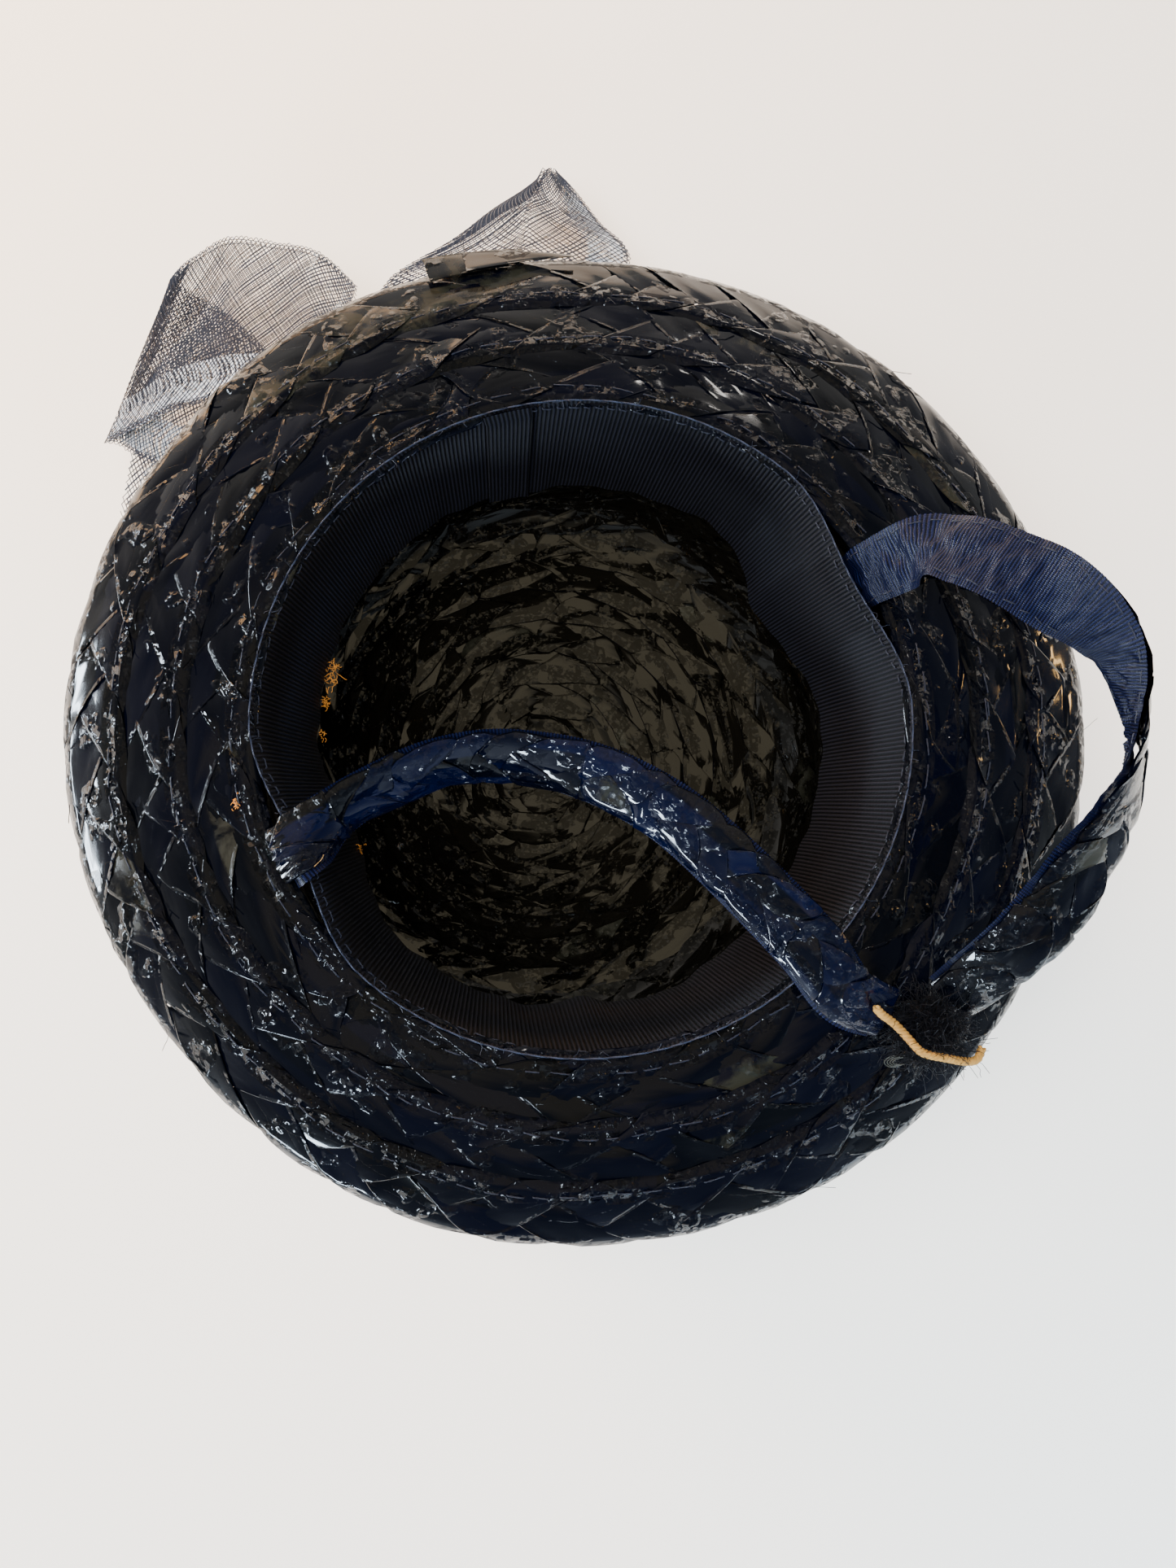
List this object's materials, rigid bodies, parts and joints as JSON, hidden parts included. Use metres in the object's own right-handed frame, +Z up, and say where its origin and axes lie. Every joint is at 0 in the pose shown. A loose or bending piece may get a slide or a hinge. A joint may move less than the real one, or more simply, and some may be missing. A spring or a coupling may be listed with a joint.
{
  "type": "tilt hat",
  "caption": "Small lacquered-straw tilt hat with a deep round crown, down-rolled brim, ribbed sweatband, ribbon-lined back strap and stiff net loops, lying crown down.",
  "frame": {"origin": "middle of the crown's flat tip, on the surface that the hat lies on", "axes": "+Z up out of the hollow; +Y towards the side that the net trim is on, +X towards the side where the strap twists"},
  "size_m": [0.235, 0.2493, 0.1044],
  "materials": {
    "lacquered_straw": "glossy lacquer over folded straw",
    "grosgrain": "matte ribbed",
    "cotton_thread": "matte twisted",
    "frayed_fibre": "matte fuzzy",
    "stiff_net": "semi-gloss fine strands"
  },
  "bodies": {
    "root": {"crown": "lacquered_straw", "brim": "lacquered_straw", "braid_end": "lacquered_straw", "sweatband": "grosgrain", "sweatband_lap": "grosgrain", "strap_straw_long": "lacquered_straw", "strap_ribbon_long": "grosgrain", "strap_straw_short": "lacquered_straw", "strap_ribbon_short": "grosgrain", "tie_thread": "cotton_thread", "tie_tuft": "frayed_fibre", "crin_loop_left": "stiff_net", "crin_loop_lower": "stiff_net", "crin_loop_right": "stiff_net", "crin_knot": "stiff_net"}
  },
  "joints": []
}
